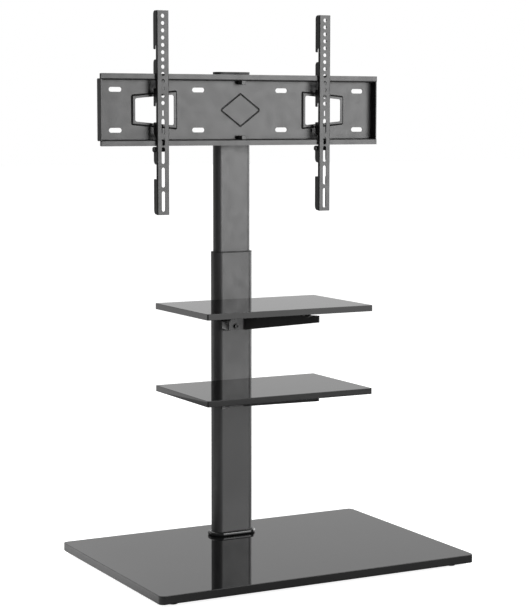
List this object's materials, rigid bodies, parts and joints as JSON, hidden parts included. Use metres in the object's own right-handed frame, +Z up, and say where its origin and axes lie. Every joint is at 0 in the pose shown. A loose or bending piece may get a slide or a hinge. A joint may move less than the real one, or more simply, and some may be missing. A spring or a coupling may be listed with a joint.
{
  "type": "floor stand with television mount",
  "caption": "Floor stand: rectangular base board, telescoping column, two open shelves on bent brackets, and a swivelling plate with two sliding hook-on arms for a flat screen.",
  "frame": {"origin": "on the floor, under the middle of the base board", "axes": "+X to the right seen from the front, +Y to the rear, where the column stands, +Z up; the mount and the shelves face -Y"},
  "size_m": [0.75, 0.52, 1.1963],
  "materials": {
    "gloss_board": "fibreboard under high-gloss black lacquer, mirror-like",
    "coated_steel": "satin black powder coat with a fine grain",
    "plate_steel": "satin black powder coat with a fine grain, slightly lighter",
    "gloss_plastic": "glossy black moulding",
    "dark_plastic": "semi-matt black moulding",
    "black_bolt": "black oxide",
    "zinc_steel": "bright zinc plate",
    "rubber": "matt black rubber"
  },
  "bodies": {
    "stand": {"base_board": "gloss_board", "front_left_foot": "rubber", "front_right_foot": "rubber", "rear_left_foot": "rubber", "rear_right_foot": "rubber", "underside_plate": "coated_steel", "front_left_base_bolt": "zinc_steel", "front_right_base_bolt": "zinc_steel", "rear_left_base_bolt": "zinc_steel", "rear_right_base_bolt": "zinc_steel", "outer_column": "coated_steel", "base_collar": "gloss_plastic", "column_foot_block": "zinc_steel", "guide_bushing": "dark_plastic", "lower_shelf": "gloss_board", "lower_shelf_bracket": "coated_steel", "lower_shelf_bracket_screw_upper": "black_bolt", "lower_shelf_bracket_screw_lower": "black_bolt", "lower_shelf_spacer_front_left": "rubber", "lower_shelf_spacer_front_right": "rubber", "lower_shelf_spacer_rear_left": "rubber", "lower_shelf_spacer_rear_right": "rubber", "lower_shelf_screw_front_left": "black_bolt", "lower_shelf_screw_front_right": "black_bolt", "lower_shelf_screw_rear_left": "black_bolt", "lower_shelf_screw_rear_right": "black_bolt", "upper_shelf": "gloss_board", "upper_shelf_bracket": "coated_steel", "upper_shelf_bracket_screw_upper": "black_bolt", "upper_shelf_bracket_screw_lower": "black_bolt", "upper_shelf_spacer_front_left": "rubber", "upper_shelf_spacer_front_right": "rubber", "upper_shelf_spacer_rear_left": "rubber", "upper_shelf_spacer_rear_right": "rubber", "upper_shelf_screw_front_left": "black_bolt", "upper_shelf_screw_front_right": "black_bolt", "upper_shelf_screw_rear_left": "black_bolt", "upper_shelf_screw_rear_right": "black_bolt"},
    "mast": {"inner_column": "coated_steel", "column_cap": "dark_plastic", "guide_shoe": "dark_plastic", "swivel_bracket": "coated_steel", "upper_left_swivel_bracket_bolt": "black_bolt", "upper_right_swivel_bracket_bolt": "black_bolt", "lower_left_swivel_bracket_bolt": "black_bolt", "lower_right_swivel_bracket_bolt": "black_bolt", "upper_swivel_washer": "dark_plastic", "lower_swivel_washer": "dark_plastic"},
    "mount_head": {"mount_plate": "plate_steel", "upper_swivel_bolt": "black_bolt", "lower_swivel_bolt": "black_bolt"},
    "left_arm_unit": {"left_arm": "coated_steel", "left_lock_bolt": "black_bolt", "left_lock_spacer": "black_bolt"},
    "right_arm_unit": {"right_arm": "coated_steel", "right_lock_bolt": "black_bolt", "right_lock_spacer": "black_bolt"},
    "upper_lock": {"upper_height_lock": "black_bolt"},
    "lower_lock": {"lower_height_lock": "black_bolt"}
  },
  "joints": [
    {"name": "height_slide", "type": "slide", "parent": "stand", "child": "mast", "axis": [0, 0, 1], "range_m": [-0.15, 0.05]},
    {"name": "swivel", "type": "hinge", "parent": "mast", "child": "mount_head", "pos_m": [0, 0.1105, 0.9853], "axis": [0, 0, 1], "range_deg": [-30, 30]},
    {"name": "left_arm_slide", "type": "slide", "parent": "mount_head", "child": "left_arm_unit", "axis": [1, 0, 0], "range_m": [-0.1, 0.1]},
    {"name": "right_arm_slide", "type": "slide", "parent": "mount_head", "child": "right_arm_unit", "axis": [1, 0, 0], "range_m": [-0.1, 0.1]},
    {"name": "upper_lock_turn", "type": "hinge", "parent": "stand", "child": "upper_lock", "pos_m": [0, 0.19, 0.627], "axis": [0, 1, 0], "range_deg": [0, 360]},
    {"name": "lower_lock_turn", "type": "hinge", "parent": "stand", "child": "lower_lock", "pos_m": [0, 0.19, 0.577], "axis": [0, 1, 0], "range_deg": [0, 360]}
  ]
}
